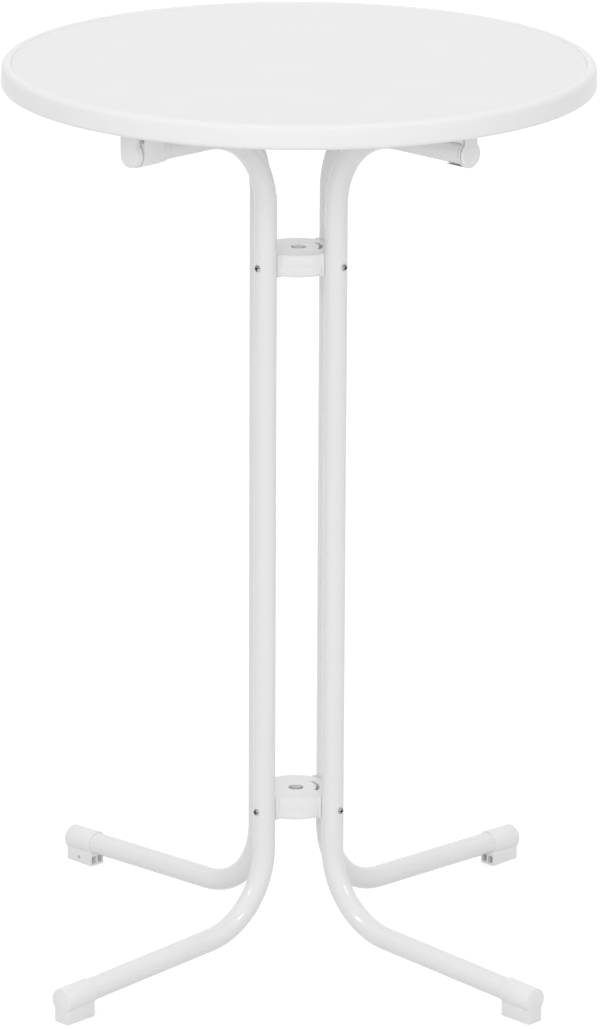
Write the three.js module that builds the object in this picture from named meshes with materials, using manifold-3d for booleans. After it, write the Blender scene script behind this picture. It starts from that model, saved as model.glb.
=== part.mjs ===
// Folding standing table: a round top on two crossed frames of bent tube.
// Millimetres, +Z up, the floor at z = 0 and the table's centre line on the Z axis.
// Every leg is built along +X first (x = outward, y = sideways) and then turned to its place.

import * as THREE from 'three';
import Module from 'manifold-3d';
import { mergeVertices } from 'three/addons/utils/BufferGeometryUtils.js';

// Driving dimensions: whole table
const TABLE_HEIGHT = 1100;
const TOP_DIAMETER = 700;
const FIXED_AZIMUTHS = { front_left: 225, rear_right: 45 };
const SWING_AZIMUTHS = { front_right: 315, rear_left: 135 };
const GAP = 0.3;
const CUT_MARGIN = 5;
const WELD_TOLERANCE = 0.0001;

// Driving dimensions: board and edge rim
const RIM_HEIGHT = 28;
const RIM_WIDTH = 13;
const RIM_CREST = 1.5;
const RIM_TOP_ROUND = 7;
const RIM_BOTTOM_ROUND = 5;
const RIM_DRAFT = 1.2;
const RIM_WALL = 8;
const RIM_CROWN_ANGLE = 6;
const RIM_ROUND_STEPS = 3;
const LEDGE_DEPTH = 10;
const LEDGE_THICKNESS = 4;
const BOARD_THICKNESS = 18.5;
const TOP_SEGMENTS = 64;

// Driving dimensions: bent tubes
const TUBE_DIAMETER = 27;
const TUBE_WALL = 1.5;
const TUBE_CIRCLE_RADIUS = 58.8;
const TUBE_SIDE_OFFSET = 4.3;
const TOP_BEND_RADIUS = 97;
const FOOT_BEND_RADIUS = 96;
const ARM_DROP = 69;
const ARM_INSET = 85.5;
const LEG_AXIS_HEIGHT = 28.5;
const LEG_SLOPE = 2.3;
const TUBE_SIDES = 16;
const BEND_STEPS = 7;

// Driving dimensions: folding hubs
const UPPER_HUB_DROP = 169.5;
const LOWER_HUB_HEIGHT = 182;
const HUB_THICKNESS = 27.4;
const HUB_EDGE_ROUND = 2;
const EAR_LENGTH = 14;
const EAR_HALF_WIDTH = 10.5;
const HUB_SEGMENTS = 40;
const FOLD_ANGLE = 62;
const STOP_RADIUS = 27;
const STOP_PIN_DIAMETER = 4;
const STOP_AZIMUTH = -22;
const STOP_SLACK = 1;
const PIVOT_DIAMETER = 8;
const PIVOT_RECESS_DIAMETER = 20;
const PIVOT_RECESS_DEPTH = 7;
const PIVOT_HEAD_DIAMETER = 14.4;
const PIVOT_HEAD_HEIGHT = 4.4;
const WASHER_DIAMETER = 17;
const WASHER_THICKNESS = 1.4;
const HEX_SIDES = 6;

// Driving dimensions: screws
const HUB_SCREW_HEAD_DIAMETER = 8.5;
const HUB_SCREW_HEAD_HEIGHT = 2;
const HUB_SCREW_DIAMETER = 3;
const HUB_SCREW_LENGTH = 40;
const HUB_SCREW_TILT = 5;
const BRACKET_SCREW_HEAD_DIAMETER = 8;
const BRACKET_SCREW_HEAD_HEIGHT = 2.2;
const BRACKET_SCREW_DIAMETER = 4;
const BRACKET_SCREW_LENGTH = 16;
const SCREW_SIDES = 12;
const SCREW_HOLE_PLAY = 0.6;

// Driving dimensions: brackets under the top
const BRACKET_HALF_WIDTH = 15.8;
const FLANGE_THICKNESS = 4;
const FLANGE_HALF_WIDTH = 30;
const FLANGE_SCREW_OFFSET = 23;
const BLOCK_LENGTH = 31;
const BLOCK_END_WALL = 2.4;
const BLOCK_FLANGE_INSET = 2;
const COLLAR_LENGTH = 9;
const COLLAR_WALL = 1.6;
const COVER_THICKNESS = 7.5;
const COVER_NECK_HALF_WIDTH = 10.3;
const COVER_TAPER = 0.9;
const SEAM_WIDTH = 2.4;
const SEAM_DEPTH = 5;
const HOOK_LENGTH = 34;
const HOOK_RADIUS = 15.8;
const HOOK_NECK_HALF_WIDTH = 10;
const HOOK_WALL = 1.6;
const HOOK_DISC_THICKNESS = 2.8;
const HOOK_FACE_RADIUS = 13.9;
const HOOK_PLAY = 0.5;
const HOOK_END_PLAY = 1.5;
const ARC_SIDES = 16;

// Driving dimensions: plugs and feet
const PLUG_FLANGE = 1.5;
const PLUG_LENGTH = 14;
const FOOT_REACH = 396;
const FOOT_LENGTH = 44;
const FOOT_END_WALL = 4.7;
const FOOT_SLEEVE_WALL = 1.5;
const FOOT_HALF_WIDTH = 11;
const FOOT_SOLE_THICKNESS = 3;
const FOOT_SIDE_WALL = 2;
const FOOT_RIB = 2.4;
const FOOT_POCKET_TOP = 12.3;
const FOOT_POCKET_END_WALL = 12;
const CAM_RADIUS = 7;
const CAM_OFFSET = 2.5;
const CAM_WIDTH = 10.8;
const CAM_FLOOR_GAP = 0.4;
const CAM_SLOT_CLEARANCE = 2.5;
const CAM_SIDES = 24;
const CAM_PIN_DIAMETER = 4;
const CAM_PIN_INSET = 0.6;

// Derived values
const DEG = Math.PI / 180;
const HALF = 0.5;
const FULL_TURN = 2 * Math.PI;
const rimRadius = TOP_DIAMETER * HALF;
const rimBottom = TABLE_HEIGHT - RIM_HEIGHT;
const boardTop = TABLE_HEIGHT - RIM_CREST;
const boardBottom = boardTop - BOARD_THICKNESS;
const boardRadius = rimRadius - RIM_WIDTH - GAP;
const tubeRadius = TUBE_DIAMETER * HALF;
const boreRadius = tubeRadius + GAP;
const armHeight = TABLE_HEIGHT - ARM_DROP;
const armEnd = rimRadius - ARM_INSET;
const plugEnd = armEnd + GAP + PLUG_FLANGE;
const hubRadius = TUBE_CIRCLE_RADIUS - tubeRadius - GAP;
const hubHeights = { upper: armHeight - UPPER_HUB_DROP, lower: LOWER_HUB_HEIGHT };
const bracketTop = boardBottom - GAP;
const halfThickness = (HUB_THICKNESS - GAP) * HALF;
const legRise = Math.tan(LEG_SLOPE * DEG);
const footInner = FOOT_REACH - FOOT_LENGTH;
const footCentre = FOOT_REACH - FOOT_LENGTH * HALF;
const legEnd = FOOT_REACH - FOOT_END_WALL - GAP;
const camCentreHeight = CAM_RADIUS + CAM_FLOOR_GAP;
const camSlotHalfLength = CAM_RADIUS + CAM_OFFSET + CAM_SLOT_CLEARANCE;
const blockEnd = plugEnd + GAP + BLOCK_END_WALL;
const blockStart = blockEnd - BLOCK_LENGTH;
const hookWallStart = plugEnd + HOOK_END_PLAY;
const hookWallEnd = hookWallStart + HOOK_WALL;
const hookDiscStart = hookWallEnd + SEAM_WIDTH;
const hookEnd = hookDiscStart + HOOK_DISC_THICKNESS;
const hookStart = hookEnd - HOOK_LENGTH;
const hubScrewSize = {
  head: HUB_SCREW_HEAD_DIAMETER,
  headHeight: HUB_SCREW_HEAD_HEIGHT,
  shank: HUB_SCREW_DIAMETER,
  length: HUB_SCREW_LENGTH,
};
const bracketScrewSize = {
  head: BRACKET_SCREW_HEAD_DIAMETER,
  headHeight: BRACKET_SCREW_HEAD_HEIGHT,
  shank: BRACKET_SCREW_DIAMETER,
  length: BRACKET_SCREW_LENGTH,
};

const wasm = await Module();
wasm.setup();

// Solids: from three.js geometry to a closed solid and back
function toSolid(geometry) {
  const bare = geometry.clone();
  bare.deleteAttribute('normal');
  bare.deleteAttribute('uv');
  const merged = mergeVertices(bare, WELD_TOLERANCE);
  const mesh = new wasm.Mesh({
    numProp: 3,
    vertProperties: new Float32Array(merged.attributes.position.array),
    triVerts: new Uint32Array(merged.index.array),
  });
  return new wasm.Manifold(mesh);
}

function toGeometry(solid) {
  const mesh = solid.getMesh();
  const geometry = new THREE.BufferGeometry();
  geometry.setAttribute('position', new THREE.BufferAttribute(mesh.vertProperties, 3));
  geometry.setIndex(new THREE.BufferAttribute(mesh.triVerts, 1));
  const flat = geometry.toNonIndexed();
  flat.computeVertexNormals();
  return flat;
}

function join(...geometries) {
  return geometries.map(toSolid).reduce((whole, piece) => whole.add(piece));
}

function cut(solid, ...geometries) {
  return geometries.map(toSolid).reduce((whole, piece) => whole.subtract(piece), solid);
}

function keep(solid, geometry) {
  return solid.intersect(toSolid(geometry));
}

// Basic shapes in the leg frame
function box(x0, x1, y0, y1, z0, z1) {
  const geometry = new THREE.BoxGeometry(x1 - x0, y1 - y0, z1 - z0);
  return geometry.translate((x0 + x1) * HALF, (y0 + y1) * HALF, (z0 + z1) * HALF);
}

function uprightCylinder(radius, x, y, z0, z1, sides) {
  const geometry = new THREE.CylinderGeometry(radius, radius, z1 - z0, sides);
  return geometry.rotateX(Math.PI * HALF).translate(x, y, (z0 + z1) * HALF);
}

function alongX(radius, x0, x1, y, z, sides, endRadius = radius) {
  const geometry = new THREE.CylinderGeometry(endRadius, radius, x1 - x0, sides);
  return geometry.rotateZ(-Math.PI * HALF).translate((x0 + x1) * HALF, y, z);
}

function alongY(radius, x, y0, y1, z, sides) {
  const geometry = new THREE.CylinderGeometry(radius, radius, y1 - y0, sides);
  return geometry.translate(x, (y0 + y1) * HALF, z);
}

function lathe(profile, segments) {
  const points = profile.map(([r, z]) => new THREE.Vector2(r, z));
  return new THREE.LatheGeometry(points, segments).rotateX(Math.PI * HALF);
}

// A flat outline in the y-z plane, drawn out along x
function outlineAlongX(points, x0, x1) {
  const shape = new THREE.Shape(points.map(([y, z]) => new THREE.Vector2(y, z)));
  const geometry = new THREE.ExtrudeGeometry(shape, { depth: x1 - x0, bevelEnabled: false });
  return geometry.rotateX(Math.PI * HALF).rotateZ(Math.PI * HALF).translate(x0, 0, 0);
}

// The centre line of one bent tube: arm, bend, upright, bend, leg
class TubePath extends THREE.Curve {
  constructor(stations) {
    super();
    this.stations = stations;
  }

  locate(t) {
    const place = Math.min(Math.max(t, 0), 1) * (this.stations.length - 1);
    const index = Math.min(Math.floor(place), this.stations.length - 2);
    return [this.stations[index], this.stations[index + 1], place - index];
  }

  getUtoTmapping(u) {
    return u;
  }

  getPoint(t, target = new THREE.Vector3()) {
    const [a, b, share] = this.locate(t);
    return target.copy(a.point).lerp(b.point, share);
  }

  getTangent(t, target = new THREE.Vector3()) {
    const [a, b, share] = this.locate(t);
    return target.copy(a.tangent).lerp(b.tangent, share).normalize();
  }
}

function tubeStations() {
  const y = TUBE_SIDE_OFFSET;
  const stations = [];
  const add = (x, z, angle) => {
    const point = new THREE.Vector3(x, y, z);
    stations.push({ point, tangent: new THREE.Vector3(-Math.cos(angle), 0, -Math.sin(angle)) });
  };
  const topX = TUBE_CIRCLE_RADIUS + TOP_BEND_RADIUS;
  const topZ = armHeight - TOP_BEND_RADIUS;
  add(armEnd, armHeight, 0);
  for (let i = 0; i <= BEND_STEPS; i += 1) {
    const a = (i / BEND_STEPS) * 90 * DEG;
    add(topX - TOP_BEND_RADIUS * Math.sin(a), topZ + TOP_BEND_RADIUS * Math.cos(a), a);
  }
  const turn = (90 - LEG_SLOPE) * DEG;
  const footX = TUBE_CIRCLE_RADIUS + FOOT_BEND_RADIUS;
  const legStartX = footX - FOOT_BEND_RADIUS * Math.cos(turn);
  const legStartZ = LEG_AXIS_HEIGHT + (footCentre - legStartX) * legRise;
  const footZ = legStartZ + FOOT_BEND_RADIUS * Math.sin(turn);
  for (let i = 0; i <= BEND_STEPS; i += 1) {
    const a = (i / BEND_STEPS) * turn;
    add(footX - FOOT_BEND_RADIUS * Math.cos(a), footZ - FOOT_BEND_RADIUS * Math.sin(a), 90 * DEG + a);
  }
  const legEndZ = LEG_AXIS_HEIGHT + (footCentre - legEnd) * legRise;
  add(legEnd, legEndZ, 90 * DEG + turn);
  return stations;
}

function ringShape(outerRadius, innerRadius, sides) {
  const circle = (radius) => Array.from({ length: sides }, (_, i) => {
    const a = (i / sides) * FULL_TURN;
    return new THREE.Vector2(radius * Math.cos(a), radius * Math.sin(a));
  });
  const shape = new THREE.Shape(circle(outerRadius));
  shape.holes.push(new THREE.Path(circle(innerRadius)));
  return shape;
}

// A hub screw: its head seat lies on the tube, its tip leans into its own half of the hub
function screwProfile(size) {
  const head = size.head * HALF;
  const shank = size.shank * HALF;
  const rim = size.headHeight * HALF;
  return [
    [0, -size.length],
    [shank * HALF, -size.length],
    [shank, -size.length + shank],
    [shank, 0],
    [head, 0],
    [head, rim],
    [head * HALF, size.headHeight],
    [0, size.headHeight],
  ];
}

function hubScrewPlacement(hubHeight, lean) {
  const tilt = HUB_SCREW_TILT * DEG * lean;
  const matrix = new THREE.Matrix4().makeTranslation(
    TUBE_CIRCLE_RADIUS + tubeRadius + GAP,
    TUBE_SIDE_OFFSET,
    hubHeight,
  );
  return matrix.multiply(new THREE.Matrix4().makeRotationY(Math.PI * HALF - tilt));
}

function hubScrew(hubHeight, lean) {
  return lathe(screwProfile(hubScrewSize), SCREW_SIDES).applyMatrix4(hubScrewPlacement(hubHeight, lean));
}

function hubScrewHole(hubHeight, lean) {
  const radius = HUB_SCREW_DIAMETER * HALF + GAP;
  const length = HUB_SCREW_LENGTH + CUT_MARGIN;
  const start = -HUB_SCREW_LENGTH - SCREW_HOLE_PLAY;
  const geometry = uprightCylinder(radius, 0, 0, start, start + length, SCREW_SIDES);
  return geometry.applyMatrix4(hubScrewPlacement(hubHeight, lean));
}

function bentTube(lean) {
  const stations = tubeStations();
  const geometry = new THREE.ExtrudeGeometry(
    ringShape(tubeRadius, tubeRadius - TUBE_WALL, TUBE_SIDES),
    { steps: stations.length - 1, extrudePath: new TubePath(stations), bevelEnabled: false },
  );
  const holes = Object.values(hubHeights).map((height) => hubScrewHole(height, lean));
  return toGeometry(cut(toSolid(geometry), ...holes));
}

function endPlug() {
  const inside = tubeRadius - TUBE_WALL - GAP;
  const start = armEnd + GAP;
  const solid = join(
    alongX(inside, start - PLUG_LENGTH, plugEnd, TUBE_SIDE_OFFSET, armHeight, TUBE_SIDES),
    alongX(tubeRadius, start, plugEnd, TUBE_SIDE_OFFSET, armHeight, TUBE_SIDES),
  );
  return toGeometry(solid);
}

// Feet: a sleeve round the end of the leg on a block sole
function legCylinder(radius, x0, x1, sides) {
  const geometry = new THREE.CylinderGeometry(radius, radius, x1 - x0, sides).rotateZ(-Math.PI * HALF);
  geometry.translate((x0 + x1) * HALF - footCentre, 0, 0);
  geometry.rotateY(LEG_SLOPE * DEG);
  return geometry.translate(footCentre, TUBE_SIDE_OFFSET, LEG_AXIS_HEIGHT);
}

function footBody() {
  const y = TUBE_SIDE_OFFSET;
  const sleeveRadius = boreRadius + FOOT_SLEEVE_WALL;
  const sleeve = legCylinder(sleeveRadius, footInner - CUT_MARGIN, FOOT_REACH + CUT_MARGIN, TUBE_SIDES);
  const sole = box(footInner, FOOT_REACH, y - FOOT_HALF_WIDTH, y + FOOT_HALF_WIDTH, 0, LEG_AXIS_HEIGHT);
  const limits = box(footInner, FOOT_REACH, y - TUBE_DIAMETER, y + TUBE_DIAMETER, 0, LEG_AXIS_HEIGHT * 2);
  const bore = legCylinder(boreRadius, footInner - 2 * CUT_MARGIN, legEnd + GAP, TUBE_SIDES);
  return cut(keep(join(sleeve, sole), limits), bore);
}

function footPockets(end) {
  const inner = FOOT_RIB * HALF;
  const outer = FOOT_HALF_WIDTH - FOOT_SIDE_WALL;
  return [-1, 1].map((side) => {
    const edges = [side * inner, side * outer].sort((a, b) => a - b);
    const y0 = TUBE_SIDE_OFFSET + edges[0];
    const y1 = TUBE_SIDE_OFFSET + edges[1];
    return box(footInner - CUT_MARGIN, end, y0, y1, FOOT_SOLE_THICKNESS, FOOT_POCKET_TOP);
  });
}

function plainFoot() {
  return toGeometry(cut(footBody(), ...footPockets(FOOT_REACH - FOOT_POCKET_END_WALL)));
}

function levellingFoot() {
  const y = TUBE_SIDE_OFFSET;
  const slotHalf = CAM_WIDTH * HALF + GAP;
  const slot = box(
    footCentre - camSlotHalfLength,
    footCentre + camSlotHalfLength,
    y - slotHalf,
    y + slotHalf,
    -CUT_MARGIN,
    LEG_AXIS_HEIGHT,
  );
  const pinHole = alongY(
    CAM_PIN_DIAMETER * HALF + GAP,
    footCentre,
    y - 2 * FOOT_HALF_WIDTH,
    y + 2 * FOOT_HALF_WIDTH,
    camCentreHeight,
    ARC_SIDES,
  );
  const pocketEnd = footCentre - camSlotHalfLength - FOOT_SIDE_WALL;
  return toGeometry(cut(footBody(), slot, pinHole, ...footPockets(pocketEnd)));
}

function levellingCam() {
  const y = TUBE_SIDE_OFFSET;
  const half = CAM_WIDTH * HALF;
  const disc = alongY(CAM_RADIUS, footCentre + CAM_OFFSET, y - half, y + half, camCentreHeight, CAM_SIDES);
  const bore = alongY(
    CAM_PIN_DIAMETER * HALF + GAP,
    footCentre,
    y - half - CUT_MARGIN,
    y + half + CUT_MARGIN,
    camCentreHeight,
    ARC_SIDES,
  );
  return toGeometry(cut(toSolid(disc), bore));
}

function camPin() {
  const half = FOOT_HALF_WIDTH - CAM_PIN_INSET;
  const y = TUBE_SIDE_OFFSET;
  return alongY(CAM_PIN_DIAMETER * HALF, footCentre, y - half, y + half, camCentreHeight, ARC_SIDES);
}

// Brackets: a closed block for the fixed frame, an open hook for the swinging frame
function archOutline(halfWidth, top) {
  const points = [];
  for (let i = 0; i <= ARC_SIDES; i += 1) {
    const a = Math.PI + (i / ARC_SIDES) * Math.PI;
    points.push([TUBE_SIDE_OFFSET + halfWidth * Math.cos(a), armHeight + halfWidth * Math.sin(a)]);
  }
  points.push([TUBE_SIDE_OFFSET + halfWidth, top]);
  points.push([TUBE_SIDE_OFFSET - halfWidth, top]);
  return points;
}

function flange(x0, x1) {
  const y0 = TUBE_SIDE_OFFSET - FLANGE_HALF_WIDTH;
  const y1 = TUBE_SIDE_OFFSET + FLANGE_HALF_WIDTH;
  return box(x0, x1, y0, y1, bracketTop - FLANGE_THICKNESS, bracketTop);
}

function bracketScrewSpots(x0, x1) {
  return [-1, 1].map((side) => [(x0 + x1) * HALF, TUBE_SIDE_OFFSET + side * FLANGE_SCREW_OFFSET]);
}

function bracketScrewHole([x, y], topHeight) {
  const radius = BRACKET_SCREW_DIAMETER * HALF + GAP;
  return uprightCylinder(radius, x, y, bracketTop - FLANGE_THICKNESS - CUT_MARGIN, topHeight, SCREW_SIDES);
}

function bracketScrew([x, y]) {
  const seat = bracketTop - FLANGE_THICKNESS - GAP;
  return lathe(screwProfile(bracketScrewSize), SCREW_SIDES).rotateX(Math.PI).translate(x, y, seat);
}

const blockFlange = [blockStart + BLOCK_FLANGE_INSET, blockEnd - BLOCK_FLANGE_INSET];
const hookFlange = [hookStart + BLOCK_FLANGE_INSET, hookWallEnd - BLOCK_FLANGE_INSET];
const blockSpots = bracketScrewSpots(...blockFlange);
const hookSpots = bracketScrewSpots(...hookFlange);

function bearingBlock() {
  const y = TUBE_SIDE_OFFSET;
  const collarStart = blockStart - COLLAR_LENGTH;
  const neck = archOutline(BRACKET_HALF_WIDTH - SEAM_DEPTH, bracketTop);
  const solid = join(
    outlineAlongX(archOutline(BRACKET_HALF_WIDTH, bracketTop), blockStart, blockEnd),
    outlineAlongX(neck, blockStart, blockEnd + SEAM_WIDTH),
    alongX(boreRadius + COLLAR_WALL, collarStart, blockEnd, y, armHeight, TUBE_SIDES),
    flange(...blockFlange),
  );
  const bore = alongX(boreRadius, collarStart - CUT_MARGIN, plugEnd + GAP, y, armHeight, TUBE_SIDES);
  const holes = blockSpots.map((spot) => bracketScrewHole(spot, boardBottom + CUT_MARGIN));
  return toGeometry(cut(solid, bore, ...holes));
}

// The cover is straight on one side, narrows to a neck on the other and tapers to its face
function coverOutline() {
  const lean = Math.acos(COVER_NECK_HALF_WIDTH / BRACKET_HALF_WIDTH);
  const points = [];
  for (let i = 0; i <= ARC_SIDES; i += 1) {
    const a = Math.PI + (i / ARC_SIDES) * (Math.PI + lean);
    points.push([BRACKET_HALF_WIDTH * Math.cos(a), BRACKET_HALF_WIDTH * Math.sin(a)]);
  }
  const top = bracketTop - armHeight;
  points.push([COVER_NECK_HALF_WIDTH, top]);
  points.push([-BRACKET_HALF_WIDTH, top]);
  return points.map(([across, up]) => [TUBE_SIDE_OFFSET + across, armHeight + up]);
}

function endCover() {
  const start = blockEnd + SEAM_WIDTH + GAP;
  const end = start + COVER_THICKNESS;
  const geometry = outlineAlongX(coverOutline(), start, end);
  const place = geometry.attributes.position;
  for (let i = 0; i < place.count; i += 1) {
    const across = place.getY(i) - TUBE_SIDE_OFFSET;
    const up = place.getZ(i) - armHeight;
    if (place.getX(i) > end - COVER_THICKNESS * HALF) {
      place.setY(i, TUBE_SIDE_OFFSET + across * COVER_TAPER);
      place.setZ(i, armHeight + (up < 0 ? up * COVER_TAPER : up));
    }
  }
  return toGeometry(toSolid(geometry));
}

function armHook() {
  const y = TUBE_SIDE_OFFSET;
  const channel = tubeRadius + HOOK_PLAY;
  const grooveRadius = HOOK_RADIUS - SEAM_DEPTH;
  const grooveHalf = HOOK_NECK_HALF_WIDTH - SEAM_DEPTH;
  const solid = join(
    alongX(HOOK_RADIUS, hookStart, hookWallEnd, y, armHeight, 2 * ARC_SIDES),
    box(hookStart, hookWallEnd, y - HOOK_NECK_HALF_WIDTH, y + HOOK_NECK_HALF_WIDTH, armHeight, bracketTop),
    alongX(grooveRadius, hookWallStart, hookEnd, y, armHeight, 2 * ARC_SIDES),
    box(hookWallStart, hookEnd, y - grooveHalf, y + grooveHalf, armHeight, bracketTop),
    alongX(HOOK_RADIUS, hookDiscStart, hookEnd, y, armHeight, 2 * ARC_SIDES, HOOK_FACE_RADIUS),
    box(hookDiscStart, hookEnd, y - HOOK_NECK_HALF_WIDTH, y + HOOK_NECK_HALF_WIDTH, armHeight, bracketTop),
    flange(...hookFlange),
  );
  const seat = alongX(channel, hookStart - CUT_MARGIN, hookWallStart, y, armHeight, TUBE_SIDES);
  const mouth = box(
    hookStart - CUT_MARGIN,
    hookWallStart,
    y - 2 * HOOK_RADIUS,
    y,
    armHeight - channel,
    armHeight + channel,
  );
  const holes = hookSpots.map((spot) => bracketScrewHole(spot, boardBottom + CUT_MARGIN));
  return toGeometry(cut(solid, seat, mouth, ...holes));
}

// Table top: a board held in a raised, rounded edge rim
function turned(geometry, azimuth) {
  return geometry.rotateZ(azimuth * DEG);
}

function tabletopBoard() {
  const disc = uprightCylinder(boardRadius, 0, 0, boardBottom, boardTop, TOP_SEGMENTS);
  const depth = boardBottom + BRACKET_SCREW_LENGTH;
  const holes = [];
  for (const azimuth of Object.values(FIXED_AZIMUTHS)) {
    holes.push(...blockSpots.map((spot) => turned(bracketScrewHole(spot, depth), azimuth)));
  }
  for (const azimuth of Object.values(SWING_AZIMUTHS)) {
    holes.push(...hookSpots.map((spot) => turned(bracketScrewHole(spot, depth), azimuth)));
  }
  return toGeometry(cut(toSolid(disc), ...holes));
}

function arcPoints(centreR, centreZ, radius, from, to) {
  return Array.from({ length: RIM_ROUND_STEPS + 1 }, (_, i) => {
    const a = (from + ((to - from) * i) / RIM_ROUND_STEPS) * DEG;
    return [centreR + radius * Math.cos(a), centreZ + radius * Math.sin(a)];
  });
}

function edgeRim() {
  const inner = rimRadius - RIM_WIDTH;
  const topR = rimRadius - RIM_DRAFT - RIM_TOP_ROUND;
  const bottomR = rimRadius - RIM_BOTTOM_ROUND;
  const ledgeTop = boardBottom - GAP;
  const points = [
    [inner, boardTop - RIM_CREST],
    [inner + RIM_CREST, boardTop + RIM_CREST * HALF],
    ...arcPoints(topR, TABLE_HEIGHT - RIM_TOP_ROUND, RIM_TOP_ROUND, 90, RIM_CROWN_ANGLE),
    ...arcPoints(bottomR, rimBottom + RIM_BOTTOM_ROUND, RIM_BOTTOM_ROUND, 0, -90),
    [rimRadius - RIM_WALL, rimBottom],
    [rimRadius - RIM_WALL, ledgeTop - LEDGE_THICKNESS],
    [inner - LEDGE_DEPTH, ledgeTop - LEDGE_THICKNESS],
    [inner - LEDGE_DEPTH, ledgeTop],
    [inner, ledgeTop],
  ];
  return lathe([...points, points[0]].reverse(), TOP_SEGMENTS);
}

// Folding hubs: a lower half on the fixed frame, an upper half on the swinging frame
function roundedDisc(radius, z0, z1, roundTop) {
  const edge = HUB_EDGE_ROUND;
  const corner = roundTop
    ? [[radius, z1 - edge], [radius - edge * HALF * HALF, z1 - edge * HALF * HALF], [radius - edge, z1]]
    : [[radius, z1]];
  const base = roundTop
    ? [[radius, z0]]
    : [[radius - edge, z0], [radius - edge * HALF * HALF, z0 + edge * HALF * HALF], [radius, z0 + edge]];
  return lathe([[0, z0], ...base, ...corner, [0, z1]], HUB_SEGMENTS);
}

function ear(azimuth, z0, z1) {
  const y = TUBE_SIDE_OFFSET;
  const outer = TUBE_CIRCLE_RADIUS - tubeRadius * HALF;
  return turned(box(outer - EAR_LENGTH, outer, y - EAR_HALF_WIDTH, y + EAR_HALF_WIDTH, z0, z1), azimuth);
}

function stopSlot(z0, z1) {
  const radius = STOP_PIN_DIAMETER * HALF + GAP;
  const steps = ARC_SIDES * HALF;
  const outline = [];
  const side = (bandRadius, from, to) => {
    for (let i = 0; i <= steps; i += 1) {
      const a = (from + ((to - from) * i) / steps) * DEG;
      outline.push(new THREE.Vector2(bandRadius * Math.cos(a), bandRadius * Math.sin(a)));
    }
  };
  const end = STOP_AZIMUTH + FOLD_ANGLE;
  side(STOP_RADIUS + radius, STOP_AZIMUTH - STOP_SLACK, end + STOP_SLACK);
  side(STOP_RADIUS - radius, end + STOP_SLACK, STOP_AZIMUTH - STOP_SLACK);
  const shape = new THREE.Shape(outline);
  const band = new THREE.ExtrudeGeometry(shape, { depth: z1 - z0, bevelEnabled: false });
  const ends = [STOP_AZIMUTH - STOP_SLACK, end + STOP_SLACK].map((azimuth) =>
    turned(uprightCylinder(radius, STOP_RADIUS, 0, z0, z1, ARC_SIDES), azimuth));
  return [band.translate(0, 0, z0), ...ends];
}

function hubHalf(hubHeight, azimuths, lean) {
  const upper = lean < 0;
  const z0 = upper ? hubHeight + GAP * HALF : hubHeight - GAP * HALF - halfThickness;
  const z1 = z0 + halfThickness;
  const recess = upper
    ? [z1 - PIVOT_RECESS_DEPTH, z1 + CUT_MARGIN]
    : [z0 - CUT_MARGIN, z0 + PIVOT_RECESS_DEPTH];
  const ears = azimuths.map((azimuth) => ear(azimuth, z0, z1));
  const body = join(roundedDisc(hubRadius, z0, z1, upper), ...ears);
  const cuts = [
    uprightCylinder(PIVOT_DIAMETER * HALF + GAP, 0, 0, z0 - CUT_MARGIN, z1 + CUT_MARGIN, ARC_SIDES),
    uprightCylinder(PIVOT_RECESS_DIAMETER * HALF, 0, 0, ...recess, ARC_SIDES),
  ];
  for (const azimuth of azimuths) {
    const seat = uprightCylinder(
      boreRadius,
      TUBE_CIRCLE_RADIUS,
      TUBE_SIDE_OFFSET,
      z0 - CUT_MARGIN,
      z1 + CUT_MARGIN,
      2 * TUBE_SIDES,
    );
    cuts.push(turned(seat, azimuth), turned(hubScrewHole(hubHeight, lean), azimuth));
  }
  if (upper) {
    cuts.push(...stopSlot(z0 - CUT_MARGIN, z1 + CUT_MARGIN));
  } else {
    const radius = STOP_PIN_DIAMETER * HALF + GAP;
    const hole = uprightCylinder(radius, STOP_RADIUS, 0, z0 + HUB_EDGE_ROUND, z1 + CUT_MARGIN, ARC_SIDES);
    cuts.push(turned(hole, STOP_AZIMUTH));
  }
  return toGeometry(cut(body, ...cuts));
}

function stopPin(hubHeight) {
  const z0 = hubHeight - halfThickness + HUB_EDGE_ROUND + GAP;
  const z1 = hubHeight + halfThickness - HUB_EDGE_ROUND;
  return turned(uprightCylinder(STOP_PIN_DIAMETER * HALF, STOP_RADIUS, 0, z0, z1, ARC_SIDES), STOP_AZIMUTH);
}

function pivotLevels(hubHeight) {
  const topSeat = hubHeight + HUB_THICKNESS * HALF - PIVOT_RECESS_DEPTH;
  const bottomSeat = hubHeight - HUB_THICKNESS * HALF + PIVOT_RECESS_DEPTH;
  const topWasher = [topSeat + GAP, topSeat + GAP + WASHER_THICKNESS];
  const bottomWasher = [bottomSeat - GAP - WASHER_THICKNESS, bottomSeat - GAP];
  return { topWasher, bottomWasher, headSeat: topWasher[1] + GAP, nutTop: bottomWasher[0] - GAP };
}

function pivotBolt(hubHeight) {
  const levels = pivotLevels(hubHeight);
  const bottom = levels.nutTop - PIVOT_HEAD_HEIGHT;
  const solid = join(
    uprightCylinder(PIVOT_DIAMETER * HALF, 0, 0, bottom, levels.headSeat + GAP, ARC_SIDES),
    uprightCylinder(
      PIVOT_HEAD_DIAMETER * HALF,
      0,
      0,
      levels.headSeat,
      levels.headSeat + PIVOT_HEAD_HEIGHT,
      HEX_SIDES,
    ),
  );
  return toGeometry(solid);
}

function ringPiece(outerRadius, [z0, z1], sides) {
  const outer = uprightCylinder(outerRadius, 0, 0, z0, z1, sides);
  const holeRadius = PIVOT_DIAMETER * HALF + GAP;
  const hole = uprightCylinder(holeRadius, 0, 0, z0 - CUT_MARGIN, z1 + CUT_MARGIN, ARC_SIDES);
  return toGeometry(cut(toSolid(outer), hole));
}

function washer(span) {
  return ringPiece(WASHER_DIAMETER * HALF, span, ARC_SIDES);
}

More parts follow.
